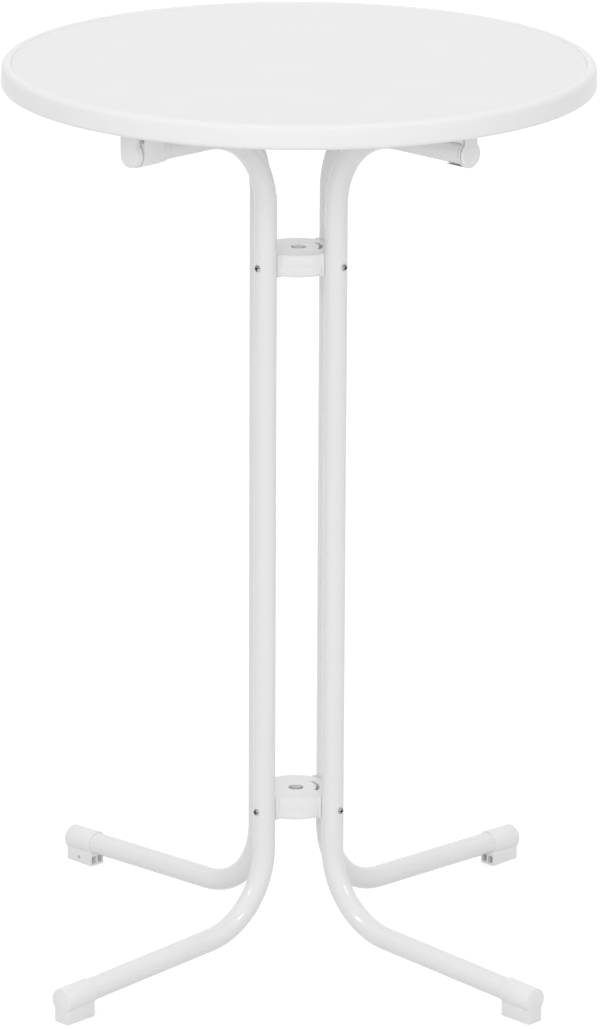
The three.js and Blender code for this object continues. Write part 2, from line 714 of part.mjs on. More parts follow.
// Materials and assembly
const looks = {
  laminate: { color: 0xf1f1f1, roughness: 0.45, metalness: 0 },
  rim_plastic: { color: 0xf4f4f4, roughness: 0.35, metalness: 0 },
  coated_steel: { color: 0xeeeeee, roughness: 0.3, metalness: 0 },
  white_plastic: { color: 0xe8e8e8, roughness: 0.4, metalness: 0 },
  zinc_steel: { color: 0xa8a8a8, roughness: 0.35, metalness: 1 },
};

const group = new THREE.Group();
group.name = 'folding_standing_table';

function addPiece(name, geometry, look) {
  const material = new THREE.MeshStandardMaterial(looks[look]);
  material.name = `${look}.${name}`;
  const mesh = new THREE.Mesh(geometry, material);
  mesh.name = name;
  group.add(mesh);
}

function addLeg(place, azimuth, lean, footName, foot) {
  addPiece(`leg_tube_${place}`, turned(bentTube(lean), azimuth), 'coated_steel');
  addPiece(`arm_plug_${place}`, turned(endPlug(), azimuth), 'white_plastic');
  addPiece(`${footName}_${place}`, turned(foot(), azimuth), 'white_plastic');
  for (const [hub, height] of Object.entries(hubHeights)) {
    addPiece(`${hub}_hub_screw_${place}`, turned(hubScrew(height, lean), azimuth), 'zinc_steel');
  }
}

function addBracketScrews(place, azimuth, spots) {
  spots.forEach((spot, index) => {
    addPiece(`bracket_screw_${place}_${index + 1}`, turned(bracketScrew(spot), azimuth), 'zinc_steel');
  });
}

addPiece('tabletop_board', tabletopBoard(), 'laminate');
addPiece('edge_rim', edgeRim(), 'rim_plastic');

for (const [place, azimuth] of Object.entries(FIXED_AZIMUTHS)) {
  addLeg(place, azimuth, 1, 'foot', plainFoot);
  addPiece(`bearing_block_${place}`, turned(bearingBlock(), azimuth), 'white_plastic');
  addPiece(`end_cover_${place}`, turned(endCover(), azimuth), 'white_plastic');
  addBracketScrews(place, azimuth, blockSpots);
}

for (const [place, azimuth] of Object.entries(SWING_AZIMUTHS)) {
  const levelling = place === 'rear_left';
  const footName = levelling ? 'levelling_foot' : 'foot';
  addLeg(place, azimuth, -1, footName, levelling ? levellingFoot : plainFoot);
  addPiece(`arm_hook_${place}`, turned(armHook(), azimuth), 'white_plastic');
  addBracketScrews(place, azimuth, hookSpots);
}

addPiece('levelling_cam', turned(levellingCam(), SWING_AZIMUTHS.rear_left), 'white_plastic');
addPiece('cam_pin', turned(camPin(), SWING_AZIMUTHS.rear_left), 'zinc_steel');

for (const [hub, height] of Object.entries(hubHeights)) {
  const levels = pivotLevels(height);
  const nutSpan = [levels.nutTop - PIVOT_HEAD_HEIGHT, levels.nutTop];
  addPiece(`${hub}_hub_fixed_half`, hubHalf(height, Object.values(FIXED_AZIMUTHS), 1), 'white_plastic');
  addPiece(`${hub}_hub_swing_half`, hubHalf(height, Object.values(SWING_AZIMUTHS), -1), 'white_plastic');
  addPiece(`${hub}_pivot_bolt`, pivotBolt(height), 'zinc_steel');
  addPiece(`${hub}_top_washer`, washer(levels.topWasher), 'zinc_steel');
  addPiece(`${hub}_bottom_washer`, washer(levels.bottomWasher), 'zinc_steel');
  addPiece(`${hub}_pivot_nut`, ringPiece(PIVOT_HEAD_DIAMETER * HALF, nutSpan, HEX_SIDES), 'zinc_steel');
  addPiece(`${hub}_stop_pin`, stopPin(height), 'zinc_steel');
}

export default group;
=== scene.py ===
# Folding standing table, dressed for looks. The pieces follow in the order in which the
# real table is put together: top, rim, brackets, tubes, hubs, screws, feet, then the setting.
import bmesh
import bpy
import math
from mathutils import Matrix, Vector


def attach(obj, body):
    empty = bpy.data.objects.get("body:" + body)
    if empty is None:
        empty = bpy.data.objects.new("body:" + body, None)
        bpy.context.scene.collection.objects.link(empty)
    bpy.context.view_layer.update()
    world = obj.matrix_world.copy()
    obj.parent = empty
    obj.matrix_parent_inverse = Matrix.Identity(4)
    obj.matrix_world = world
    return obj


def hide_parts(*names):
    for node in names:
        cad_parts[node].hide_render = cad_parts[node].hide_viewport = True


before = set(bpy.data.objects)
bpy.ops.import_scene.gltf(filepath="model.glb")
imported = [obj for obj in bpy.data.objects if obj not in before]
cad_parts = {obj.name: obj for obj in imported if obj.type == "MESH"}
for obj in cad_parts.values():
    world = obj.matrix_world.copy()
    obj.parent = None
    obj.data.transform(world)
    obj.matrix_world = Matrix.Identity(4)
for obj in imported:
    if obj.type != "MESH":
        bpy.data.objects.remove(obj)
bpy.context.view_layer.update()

# Table top. A round particle board under white melamine laminate, sawn to a circle.
# Things stand on it, and its face lies a little lower than the rim round it.
# Sizes are in millimetres up to finish_piece, which turns them to metres.
MM = 0.001
BOARD_RADIUS = 336.94
BOARD_TOP = 1098.5
BOARD_THICKNESS = 18.5
BOARD_EDGE = 0.12
ROUND_STEPS = 192
CREASE_ANGLE = 30
PATCH_LOW = 0.15
PATCH_HIGH = 0.85
PATCH_DETAIL = 3.0
SHINE_SPREAD = 0.1
GRAIN_DETAIL = 2.0
RELIEF_STRENGTH = 0.4


def new_object(name, mesh):
    item = bpy.data.objects.new(name, mesh)
    bpy.context.scene.collection.objects.link(item)
    return item


def turned(profile, steps=ROUND_STEPS):
    """Revolves (radius, height) pairs round the Z axis. A profile that leaves the axis out makes a ring."""
    shape = bmesh.new()
    columns = []
    for step in range(steps):
        angle = math.tau * step / steps
        column = []
        for radius, height in profile:
            if radius == 0 and step:
                column.append(columns[0][len(column)])
            else:
                column.append(shape.verts.new((radius * math.cos(angle), radius * math.sin(angle), height)))
        columns.append(column)
    ring = profile[0][0] > 0
    for step in range(steps):
        here, there = columns[step], columns[(step + 1) % steps]
        for row in range(len(profile) if ring else len(profile) - 1):
            after = (row + 1) % len(profile)
            corners = []
            for vert in (here[row], there[row], there[after], here[after]):
                if vert not in corners:
                    corners.append(vert)
            if len(corners) > 2:
                shape.faces.new(corners)
    bmesh.ops.recalc_face_normals(shape, faces=shape.faces)
    return shape


def as_mesh(shape):
    mesh = bpy.data.meshes.new("shape")
    shape.to_mesh(mesh)
    shape.free()
    return mesh


def finish_piece(name, mesh, azimuth, finish, body, nodes):
    """Turns a mesh in millimetres to its place, in metres, and stands it for its CAD nodes."""
    mesh.transform(Matrix.Scale(MM, 4) @ Matrix.Rotation(math.radians(azimuth), 4, "Z"))
    mesh.shade_smooth()
    mesh.set_sharp_from_angle(angle=math.radians(CREASE_ANGLE))
    if finish:
        mesh.materials.clear()
        mesh.materials.append(finish)
    piece = new_object(name, mesh)
    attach(piece, body)
    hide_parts(*nodes)
    return piece


def linear(hex_text):
    """Turns an sRGB hex colour to the linear colour that a shader takes."""
    parts = [int(hex_text[i:i + 2], 16) / 255 for i in (0, 2, 4)]
    return [p / 12.92 if p <= 0.04045 else ((p + 0.055) / 1.055) ** 2.4 for p in parts] + [1.0]


def add_node(tree, kind, inputs=None, **settings):
    """Adds a node. An input is a value, an output to link, or a tuple of outputs to link in turn."""
    item = tree.nodes.new(kind)
    for name, value in settings.items():
        setattr(item, name, value)
    for name, value in (inputs or {}).items():
        if isinstance(value, bpy.types.NodeSocket):
            tree.links.new(value, item.inputs[name])
        elif isinstance(value, tuple):
            for source in value:
                tree.links.new(source, item.inputs[name])
        else:
            item.inputs[name].default_value = value
    return item


def clouded_finish(name, light, dark, patch_mm, detail, low=0.0, high=1.0):
    """Starts a material whose colour drifts between two tones. Gives it, its patches and its coordinates."""
    finish = bpy.data.materials.new(name)
    finish.use_nodes = True
    tree = finish.node_tree
    spot = add_node(tree, "ShaderNodeTexCoord").outputs["Object"]
    patches = add_node(tree, "ShaderNodeTexNoise",
                       {"Vector": spot, "Scale": 1 / (patch_mm * MM), "Detail": detail}).outputs["Fac"]
    tone = add_node(tree, "ShaderNodeValToRGB", {"Fac": patches})
    first, last = tone.color_ramp.elements
    first.position, first.color = low, linear(dark)
    last.position, last.color = high, linear(light)
    tree.links.new(tone.outputs["Color"], tree.nodes["Principled BSDF"].inputs["Base Color"])
    return finish, patches, spot


def white_finish(name, light, dark, patch_mm, rough, grain_mm, relief_mm, ior):
    """A white solid: two near tones in soft patches, a roughness that follows them, a fine relief."""
    finish, patches, spot = clouded_finish(name, light, dark, patch_mm, PATCH_DETAIL, PATCH_LOW, PATCH_HIGH)
    tree = finish.node_tree
    shader = tree.nodes["Principled BSDF"]
    shader.inputs["IOR"].default_value = ior
    shine = add_node(tree, "ShaderNodeMapRange", {
        "Value": patches, "From Min": PATCH_LOW, "From Max": PATCH_HIGH,
        "To Min": rough * (1 - SHINE_SPREAD), "To Max": rough * (1 + SHINE_SPREAD)})
    tree.links.new(shine.outputs["Result"], shader.inputs["Roughness"])
    grain = add_node(tree, "ShaderNodeTexNoise",
                     {"Vector": spot, "Scale": 1 / (grain_mm * MM), "Detail": GRAIN_DETAIL})
    relief = add_node(tree, "ShaderNodeBump", {
        "Height": grain.outputs["Fac"], "Strength": RELIEF_STRENGTH, "Distance": relief_mm * MM})
    tree.links.new(relief.outputs["Normal"], shader.inputs["Normal"])
    return finish


# Melamine laminate, pressed: an even white with a pearl grain that softens its shine.
# The real grain is about 0.5 mm; it is drawn at 3 mm so that the render can show it.
melamine = white_finish("pressed_white_melamine", "F3F3F3", "F0F0F0",
                        patch_mm=70, rough=0.4, grain_mm=3.0, relief_mm=0.02, ior=1.5)

board_bottom = BOARD_TOP - BOARD_THICKNESS
board_profile = [
    (0, board_bottom),
    (BOARD_RADIUS - BOARD_EDGE, board_bottom),
    (BOARD_RADIUS, board_bottom + BOARD_EDGE),
    (BOARD_RADIUS, BOARD_TOP - BOARD_EDGE),
    (BOARD_RADIUS - BOARD_EDGE, BOARD_TOP),
    (0, BOARD_TOP),
]
finish_piece("laminate_top", as_mesh(turned(board_profile)), 0, melamine, "fixed_frame", ["tabletop_board"])

# Edge rim. A ring of white ABS, extruded with a round back and a raised inner bead,
# bent round the board and closed. A ledge inside it carries the board's edge.
RIM_RADIUS = 350.0
RIM_TOP = 1100.0
RIM_HEIGHT = 28.0
RIM_WIDTH = 13.0
RIM_STEP = 1.5
RIM_BEAD = 2.0
RIM_BEAD_STEPS = 5
RIM_TOP_ROUND = 7.0
RIM_TOP_STEPS = 10
RIM_CROWN_ANGLE = 6
RIM_BOTTOM_ROUND = 5.0
RIM_BOTTOM_STEPS = 8
RIM_DRAFT = 1.2
RIM_WALL = 8.0
RIM_LEDGE = 10.0
RIM_LEDGE_THICKNESS = 4.0
JOINT_GAP = 0.3


def arc(across, up, radius, start, end, steps):
    """Points on an arc, in degrees, counted from the outward direction upwards."""
    angles = [math.radians(start + (end - start) * i / steps) for i in range(steps + 1)]
    return [(across + radius * math.cos(a), up + radius * math.sin(a)) for a in angles]


rim_inner = RIM_RADIUS - RIM_WIDTH
rim_bottom = RIM_TOP - RIM_HEIGHT
ledge_top = board_bottom - JOINT_GAP
rim_profile = [
    (rim_inner, BOARD_TOP - RIM_STEP),
    *arc(rim_inner + RIM_BEAD, RIM_TOP - RIM_BEAD, RIM_BEAD, 180, 90, RIM_BEAD_STEPS),
    *arc(RIM_RADIUS - RIM_DRAFT - RIM_TOP_ROUND, RIM_TOP - RIM_TOP_ROUND, RIM_TOP_ROUND,
         90, RIM_CROWN_ANGLE, RIM_TOP_STEPS),
    *arc(RIM_RADIUS - RIM_BOTTOM_ROUND, rim_bottom + RIM_BOTTOM_ROUND, RIM_BOTTOM_ROUND,
         0, -90, RIM_BOTTOM_STEPS),
    (RIM_RADIUS - RIM_WALL, rim_bottom),
    (RIM_RADIUS - RIM_WALL, ledge_top - RIM_LEDGE_THICKNESS),
    (rim_inner - RIM_LEDGE, ledge_top - RIM_LEDGE_THICKNESS),
    (rim_inner - RIM_LEDGE, ledge_top),
    (rim_inner, ledge_top),
]

# Extruded ABS: an even white with a smooth, half-gloss skin and hardly any grain.
abs_edging = white_finish("extruded_white_abs", "F5F5F5", "F3F3F3",
                          patch_mm=90, rough=0.3, grain_mm=5.0, relief_mm=0.004, ior=1.52)
finish_piece("edge_band", as_mesh(turned(rim_profile)), 0, abs_edging, "fixed_frame", ["edge_rim"])

# Brackets of the fixed frame. A moulded block under each end takes the arm in a blind bore,
# with a collar round the arm and a flange that two screws hold to the board. A separate
# cover closes its outer end and leaves a shadow seam.
FIXED_LEGS = {"front_left": 225, "rear_right": 45}
SWING_LEGS = {"front_right": 315, "rear_left": 135}
SIDE = 4.3
ARM_HEIGHT = 1031.0
ARM_END = 264.5
TUBE_RADIUS = 13.5
BORE_RADIUS = TUBE_RADIUS + JOINT_GAP
SNUG_GAP = 0.08
SNUG_RADIUS = TUBE_RADIUS + SNUG_GAP
BRACKET_TOP = board_bottom - JOINT_GAP
BRACKET_HALF = 15.8
BRACKET_ROUND = 0.4
BRACKET_STEPS = 40
FLANGE_HALF = 30.0
FLANGE_THICKNESS = 4.0
FLANGE_SCREW = 23.0
FLANGE_INSET = 2.0
PLUG_FLANGE = 1.5
PLUG_END = ARM_END + JOINT_GAP + PLUG_FLANGE
BLOCK_START = 238.0
BLOCK_END = 269.0
COLLAR_START = 229.0
COLLAR_WALL = 1.6
SEAM_WIDTH = 2.4
SEAM_DEPTH = 8.0
COVER_THICKNESS = 7.5
COVER_NECK_HALF = 10.3
COVER_TAPER = 0.9
COVER_STEPS = 50
POCKET_INNER = 9.5
POCKET_OUTER = 14.9
POCKET_DEPTH = 9.0
POCKET_FLOOR = 1.0
POCKET_ROOF = 2.0
OVERRUN = 5.0
EASE_ANGLE = 45
EASE_STEPS = 3
WELD_DISTANCE = 0.001
FLAT_ANGLE = 0.5


def cylinder(radius, start, end, steps=64, end_radius=None):
    """A closed cylinder, or a cone with an end radius, between two points."""
    start, end = Vector(start), Vector(end)
    shape = bmesh.new()
    turn = (end - start).to_track_quat("Z", "Y").to_matrix().to_4x4()
    bmesh.ops.create_cone(shape, cap_ends=True, segments=steps, radius1=radius,
                          radius2=radius if end_radius is None else end_radius, depth=(end - start).length,
                          matrix=Matrix.Translation((start + end) / 2) @ turn)
    return shape


def brick(low, high):
    """A closed box between its lowest and its highest corner."""
    low, high = Vector(low), Vector(high)
    shape = bmesh.new()
    place = Matrix.Translation((low + high) / 2) @ Matrix.Diagonal((*(high - low), 1))
    bmesh.ops.create_cube(shape, size=1, matrix=place)
    return shape


def prism(near, far):
    """A closed solid between two like outlines, given point by point."""
    shape = bmesh.new()
    near = [shape.verts.new(point) for point in near]
    far = [shape.verts.new(point) for point in far]
    shape.faces.new(near)
    shape.faces.new(far)
    for i in range(len(near)):
        j = (i + 1) % len(near)
        shape.faces.new((near[i], near[j], far[j], far[i]))
    bmesh.ops.recalc_face_normals(shape, faces=shape.faces)
    return shape


def drawn_out(outline, x0, x1):
    """Draws a closed outline of (y, z) points out along X."""
    return prism([(x0, y, z) for y, z in outline], [(x1, y, z) for y, z in outline])


def plain_mesh(item):
    """The mesh that an object's modifiers make."""
    bpy.context.view_layer.update()
    return bpy.data.meshes.new_from_object(item.evaluated_get(bpy.context.evaluated_depsgraph_get()))


def eased(shape, width):
    """Rounds the sharp outer edges of a plain shape, before it is joined to others or cut."""
    least = math.radians(EASE_ANGLE)
    sharp = [edge for edge in shape.edges if edge.is_convex and edge.calc_face_angle() > least]
    bmesh.ops.bevel(shape, geom=sharp, offset=width, segments=EASE_STEPS, affect="EDGES", profile=0.5)
    return shape


def carve(base, joined=(), cut=()):
    """Joins and cuts closed shapes, clears flat seams away and gives the mesh that is left."""
    body = new_object("carving", as_mesh(base))
    tools = []
    for shapes, operation in ((joined, "UNION"), (cut, "DIFFERENCE")):
        for shape in shapes:
            tools.append(new_object("tool", as_mesh(shape)))
            step = body.modifiers.new("carve", "BOOLEAN")
            step.operation, step.solver, step.object = operation, "MANIFOLD", tools[-1]
    mesh = plain_mesh(body)
    for item in [body, *tools]:
        bpy.data.objects.remove(item)
    shape = bmesh.new()
    shape.from_mesh(mesh)
    bmesh.ops.remove_doubles(shape, verts=shape.verts, dist=WELD_DISTANCE)
    bmesh.ops.dissolve_limit(shape, angle_limit=math.radians(FLAT_ANGLE),
                             verts=shape.verts, edges=shape.edges)
    return as_mesh(shape)


def on_arm(x):
    """The point of the arm's middle line at that distance from the table's middle."""
    return (x, SIDE, ARM_HEIGHT)


def arch(half):
    """The outline of a bracket: round under the arm, straight up to the board."""
    curve = arc(SIDE, ARM_HEIGHT, half, 180, 360, BRACKET_STEPS)
    return curve + [(SIDE + half, BRACKET_TOP), (SIDE - half, BRACKET_TOP)]


def narrowed(shape, share):
    """Draws the outer end of a shape in towards the arm's middle line, as a mould's draft does."""
    middle = sum(vert.co.x for vert in shape.verts) / len(shape.verts)
    for vert in shape.verts:
        if vert.co.x > middle:
            vert.co.y = SIDE + (vert.co.y - SIDE) * share
            vert.co.z = ARM_HEIGHT + (vert.co.z - ARM_HEIGHT) * (share if vert.co.z < ARM_HEIGHT else 1)
    return shape


def flange(x0, x1):
    """The flat plate that the board's screws hold."""
    return eased(brick((x0 + FLANGE_INSET, SIDE - FLANGE_HALF, BRACKET_TOP - FLANGE_THICKNESS),
                       (x1 - FLANGE_INSET, SIDE + FLANGE_HALF, BRACKET_TOP)), BRACKET_ROUND)


# Moulded nylon: a neutral white with a soft gloss and the fine texture of an etched mould.
nylon = white_finish("moulded_white_nylon", "F5F5F5", "F2F2F2",
                     patch_mm=25, rough=0.3, grain_mm=1.2, relief_mm=0.015, ior=1.53)

cover_start = BLOCK_END + SEAM_WIDTH + JOINT_GAP
cover_lean = math.degrees(math.acos(COVER_NECK_HALF / BRACKET_HALF))
cover_outline = [
    *arc(SIDE, ARM_HEIGHT, BRACKET_HALF, 180, 360 + cover_lean, COVER_STEPS),
    (SIDE + COVER_NECK_HALF, BRACKET_TOP),
    (SIDE - BRACKET_HALF, BRACKET_TOP),
]
for place, azimuth in FIXED_LEGS.items():
    collar = cylinder(BORE_RADIUS + COLLAR_WALL, on_arm(COLLAR_START), on_arm(BLOCK_START + OVERRUN))
    bore = cylinder(SNUG_RADIUS, on_arm(COLLAR_START - OVERRUN), on_arm(PLUG_END + JOINT_GAP))
    pocket = brick(
        (BLOCK_END - POCKET_DEPTH, SIDE + POCKET_INNER, ARM_HEIGHT + BORE_RADIUS + POCKET_FLOOR),
        (BLOCK_END + JOINT_GAP, SIDE + POCKET_OUTER, BRACKET_TOP - POCKET_ROOF))
    block = carve(
        eased(drawn_out(arch(BRACKET_HALF), BLOCK_START, BLOCK_END), BRACKET_ROUND),
        joined=[
            drawn_out(arch(BRACKET_HALF - SEAM_DEPTH), BLOCK_START + OVERRUN, BLOCK_END + SEAM_WIDTH),
            eased(collar, BRACKET_ROUND),
            flange(BLOCK_START, BLOCK_END),
        ],
        cut=[bore, pocket],
    )
    finish_piece(f"block_{place}", block, azimuth, nylon, "fixed_frame", [f"bearing_block_{place}"])
    cover = narrowed(drawn_out(cover_outline, cover_start, cover_start + COVER_THICKNESS), COVER_TAPER)
    cover = as_mesh(eased(cover, BRACKET_ROUND))
    finish_piece(f"cover_{place}", cover, azimuth, nylon, "fixed_frame", [f"end_cover_{place}"])

# Hooks of the swinging frame. A moulded J under the other two ends, open on the side from
# which the arm swings in, with a round end wall and a narrower neck up to its flange.
HOOK_START = 240.6
HOOK_END_PLAY = 1.5
HOOK_WALL = 1.6
HOOK_DISC_THICKNESS = 2.8
HOOK_WALL_START = PLUG_END + HOOK_END_PLAY
HOOK_WALL_END = HOOK_WALL_START + HOOK_WALL
HOOK_DISC_START = HOOK_WALL_END + SEAM_WIDTH
HOOK_END = HOOK_DISC_START + HOOK_DISC_THICKNESS
HOOK_RADIUS = 15.8
HOOK_NECK_HALF = 10.0
HOOK_PLAY = 0.5
HOOK_CHANNEL = TUBE_RADIUS + HOOK_PLAY
HOOK_DISC_TAPER = 0.88
HOOK_FACE_RIM = 2.2
HOOK_FACE_DEPTH = 0.5
HOOK_STEPS = 60


def pear(radius, neck_half, x0, x1):
    """A round on a straight neck that reaches up to the board."""
    side = math.degrees(math.asin(neck_half / radius))
    curve = arc(SIDE, ARM_HEIGHT, radius, 90 + side, 450 - side, HOOK_STEPS)
    return drawn_out(curve + [(SIDE + neck_half, BRACKET_TOP), (SIDE - neck_half, BRACKET_TOP)], x0, x1)


for place, azimuth in SWING_LEGS.items():
    end_disc = narrowed(pear(HOOK_RADIUS, HOOK_NECK_HALF, HOOK_DISC_START, HOOK_END), HOOK_DISC_TAPER)
    hook = carve(
        eased(pear(HOOK_RADIUS, HOOK_NECK_HALF, HOOK_START, HOOK_WALL_END), BRACKET_ROUND),
        joined=[
            pear(HOOK_RADIUS - SEAM_DEPTH, HOOK_NECK_HALF - SEAM_DEPTH,
                 HOOK_WALL_START, HOOK_END - HOOK_FACE_DEPTH),
            eased(end_disc, BRACKET_ROUND),
            flange(HOOK_START, HOOK_WALL_END),
        ],
        cut=[
            pear(HOOK_RADIUS * HOOK_DISC_TAPER - HOOK_FACE_RIM,
                 HOOK_NECK_HALF * HOOK_DISC_TAPER - HOOK_FACE_RIM,
                 HOOK_END - HOOK_FACE_DEPTH, HOOK_END + OVERRUN),
            cylinder(HOOK_CHANNEL, on_arm(HOOK_START - OVERRUN), on_arm(HOOK_WALL_START)),
            brick((HOOK_START - OVERRUN, SIDE - 2 * HOOK_RADIUS, ARM_HEIGHT - HOOK_CHANNEL),
                  (HOOK_WALL_START, SIDE, ARM_HEIGHT + HOOK_CHANNEL)),
        ],
    )
    finish_piece(f"hook_{place}", hook, azimuth, nylon, "fixed_frame", [f"arm_hook_{place}"])

# Bent tubes. Four welded steel tubes of 27 mm, each bent twice to a C, then powder coated.
# A node tree sweeps a round section along each centre line.
TUBE_CIRCLE = 58.8
TOP_BEND = 97.0
FOOT_BEND = 96.0
FOOT_REACH = 396.0
FOOT_LENGTH = 44.0
LEG_END = 391.0
LEG_AXIS = 28.5
LEG_SLOPE = 2.3
BEND_STEPS = 28
TUBE_SIDES = 48
foot_middle = FOOT_REACH - FOOT_LENGTH / 2


def on_leg(x):
    """The point of the leg's middle line at that distance from the table's middle."""
    return (x, SIDE, LEG_AXIS + (foot_middle - x) * math.tan(math.radians(LEG_SLOPE)))


def centre_line():
    """The middle of one tube from its arm end to its leg end, as (distance, height) pairs."""
    turn = math.radians(90 - LEG_SLOPE)
    bend_x = TUBE_CIRCLE + FOOT_BEND
    bend_z = on_leg(bend_x - FOOT_BEND * math.cos(turn))[2] + FOOT_BEND * math.sin(turn)
    return [
        (ARM_END, ARM_HEIGHT),
        *arc(TUBE_CIRCLE + TOP_BEND, ARM_HEIGHT - TOP_BEND, TOP_BEND, 90, 180, BEND_STEPS),
        *arc(bend_x, bend_z, FOOT_BEND, 180, 270 - LEG_SLOPE, BEND_STEPS),
        (LEG_END, on_leg(LEG_END)[2]),
    ]


def tree_inputs(tree, sockets):
    """Names a tree's inputs. Gives their outputs inside it, and its output node."""
    for name, kind in sockets:
        tree.interface.new_socket(name, in_out="INPUT", socket_type=kind)
    tree.interface.new_socket("Geometry", in_out="OUTPUT", socket_type="NodeSocketGeometry")
    return tree.nodes.new("NodeGroupInput").outputs, tree.nodes.new("NodeGroupOutput")


def grown(mesh, tree, values):
    """Runs a node tree on a mesh, with its named inputs set, and keeps the plain result."""
    item = new_object("growing", mesh)
    step = item.modifiers.new("grow", "NODES")
    step.node_group = tree
    for socket in tree.interface.items_tree:
        if socket.name in values:
            step[socket.identifier] = values[socket.name]
    result = plain_mesh(item)
    bpy.data.objects.remove(item)
    return result


sweep = bpy.data.node_groups.new("round_section_along_line", "GeometryNodeTree")
given, out = tree_inputs(sweep, [
    ("Geometry", "NodeSocketGeometry"), ("Diameter", "NodeSocketFloat"),
    ("Sides", "NodeSocketInt"), ("Finish", "NodeSocketMaterial")])
line = add_node(sweep, "GeometryNodeMeshToCurve", {"Mesh": given["Geometry"]})
radius = add_node(sweep, "ShaderNodeMath", {0: given["Diameter"], 1: 0.5}, operation="MULTIPLY")
section = add_node(sweep, "GeometryNodeCurvePrimitiveCircle",
                   {"Resolution": given["Sides"], "Radius": radius.outputs[0]})
skin = add_node(sweep, "GeometryNodeCurveToMesh",
                {"Curve": line.outputs[0], "Profile Curve": section.outputs[0], "Fill Caps": True})
whole = add_node(sweep, "GeometryNodeRealizeInstances", {"Geometry": skin.outputs[0]})
painted = add_node(sweep, "GeometryNodeSetMaterial",
                   {"Geometry": whole.outputs[0], "Material": given["Finish"]})
sweep.links.new(painted.outputs[0], out.inputs["Geometry"])

# Powder coat, baked: a bright even white, glossy, with a faint orange peel of about 2 mm.
powder_coat = white_finish("baked_white_powder_coat", "F2F2F2", "F0F0F0",
                           patch_mm=60, rough=0.11, grain_mm=2.0, relief_mm=0.001, ior=1.5)

tubes = []
for body, legs in (("fixed_frame", FIXED_LEGS), ("swing_frame", SWING_LEGS)):
    for place, azimuth in legs.items():
        points = [(x, SIDE, z) for x, z in centre_line()]
        path = bpy.data.meshes.new("centre_line")
        path.from_pydata(points, [(i, i + 1) for i in range(len(points) - 1)], [])
        tube = grown(path, sweep, {"Diameter": 2 * TUBE_RADIUS, "Sides": TUBE_SIDES, "Finish": powder_coat})
        shape = bmesh.new()
        shape.from_mesh(tube)
        bmesh.ops.recalc_face_normals(shape, faces=shape.faces)
        shape.to_mesh(tube)
        shape.free()
        tubes.append(finish_piece(f"tube_{place}", tube, azimuth, powder_coat, body, [f"leg_tube_{place}"]))

# Arm plugs. Moulded nylon stoppers pushed into the arm ends, so that the bare edge of the
# tube doesn't scrape the brackets. The solids are right as they are.


def coat(node, finish):
    """Gives a solid that keeps its shape its finish."""
    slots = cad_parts[node].data.materials
    slots.clear()
    slots.append(finish)


for place in (*FIXED_LEGS, *SWING_LEGS):
    coat(f"arm_plug_{place}", nylon)

# Folding hubs. Two moulded discs lie on each other in each hub: the lower one is screwed to
# the fixed frame's tubes and the upper one to the other frame's, with a saddle for each tube.
HUB_HEIGHTS = {"upper": 861.5, "lower": 182.0}
HUB_RADIUS = 45.0
HUB_HALF_THICKNESS = 13.55
HUB_SEAM = 0.06
HUB_ROUND = 3.2
HUB_ROUND_STEPS = 6
HUB_STEPS = 128
EAR_OUTER = 52.05
EAR_INNER = 38.05
EAR_HALF = 10.5
EAR_ROUND = 0.6
SADDLE_STEPS = 96
PIVOT_RADIUS = 4.0
PIVOT_STEPS = 32
RECESS_RADIUS = 8.8
RECESS_DEPTH = 7.0
DISH_RADIUS = 10.0
DISH_DEPTH = 1.2
STOP_RADIUS = 27.0
STOP_PIN_RADIUS = 2.0
STOP_AZIMUTH = -22.0
STOP_SLACK = 1.0
STOP_CLEARANCE = 0.1
FOLD_ANGLE = 62.0
SLOT_STEPS = 24
SLOT_END_STEPS = 8


def turned_by(shape, azimuth):
    """Turns a shape round the table's upright centre line."""
    turn = Matrix.Rotation(math.radians(azimuth), 3, "Z")
    bmesh.ops.rotate(shape, cent=(0, 0, 0), matrix=turn, verts=shape.verts)
    return shape


def disc(z0, z1, round_top):
    """A hub disc with its outer edge rounded, at the top or else at the bottom."""
    middle = HUB_RADIUS - HUB_ROUND
    if round_top:
        edge = [(HUB_RADIUS, z0)] + arc(middle, z1 - HUB_ROUND, HUB_ROUND, 0, 90, HUB_ROUND_STEPS)
    else:
        edge = arc(middle, z0 + HUB_ROUND, HUB_ROUND, -90, 0, HUB_ROUND_STEPS) + [(HUB_RADIUS, z1)]
    return turned([(0, z0), *edge, (0, z1)], HUB_STEPS)


def stop_slot(z0, z1):
    """The curved slot in which the stop pin runs, with round ends."""
    half = STOP_PIN_RADIUS + STOP_CLEARANCE
    first, last = STOP_AZIMUTH - STOP_SLACK, STOP_AZIMUTH + FOLD_ANGLE + STOP_SLACK
    outline = arc(0, 0, STOP_RADIUS + half, first, last, SLOT_STEPS)
    ends = []
    for angle, from_angle in ((last, last), (first, first + 180)):
        across, up = STOP_RADIUS * math.cos(math.radians(angle)), STOP_RADIUS * math.sin(math.radians(angle))
        ends.append(arc(across, up, half, from_angle, from_angle + 180, SLOT_END_STEPS)[1:-1])
    outline += ends[0] + arc(0, 0, STOP_RADIUS - half, last, first, SLOT_STEPS) + ends[1]
    return prism([(x, y, z0) for x, y in outline], [(x, y, z1) for x, y in outline])


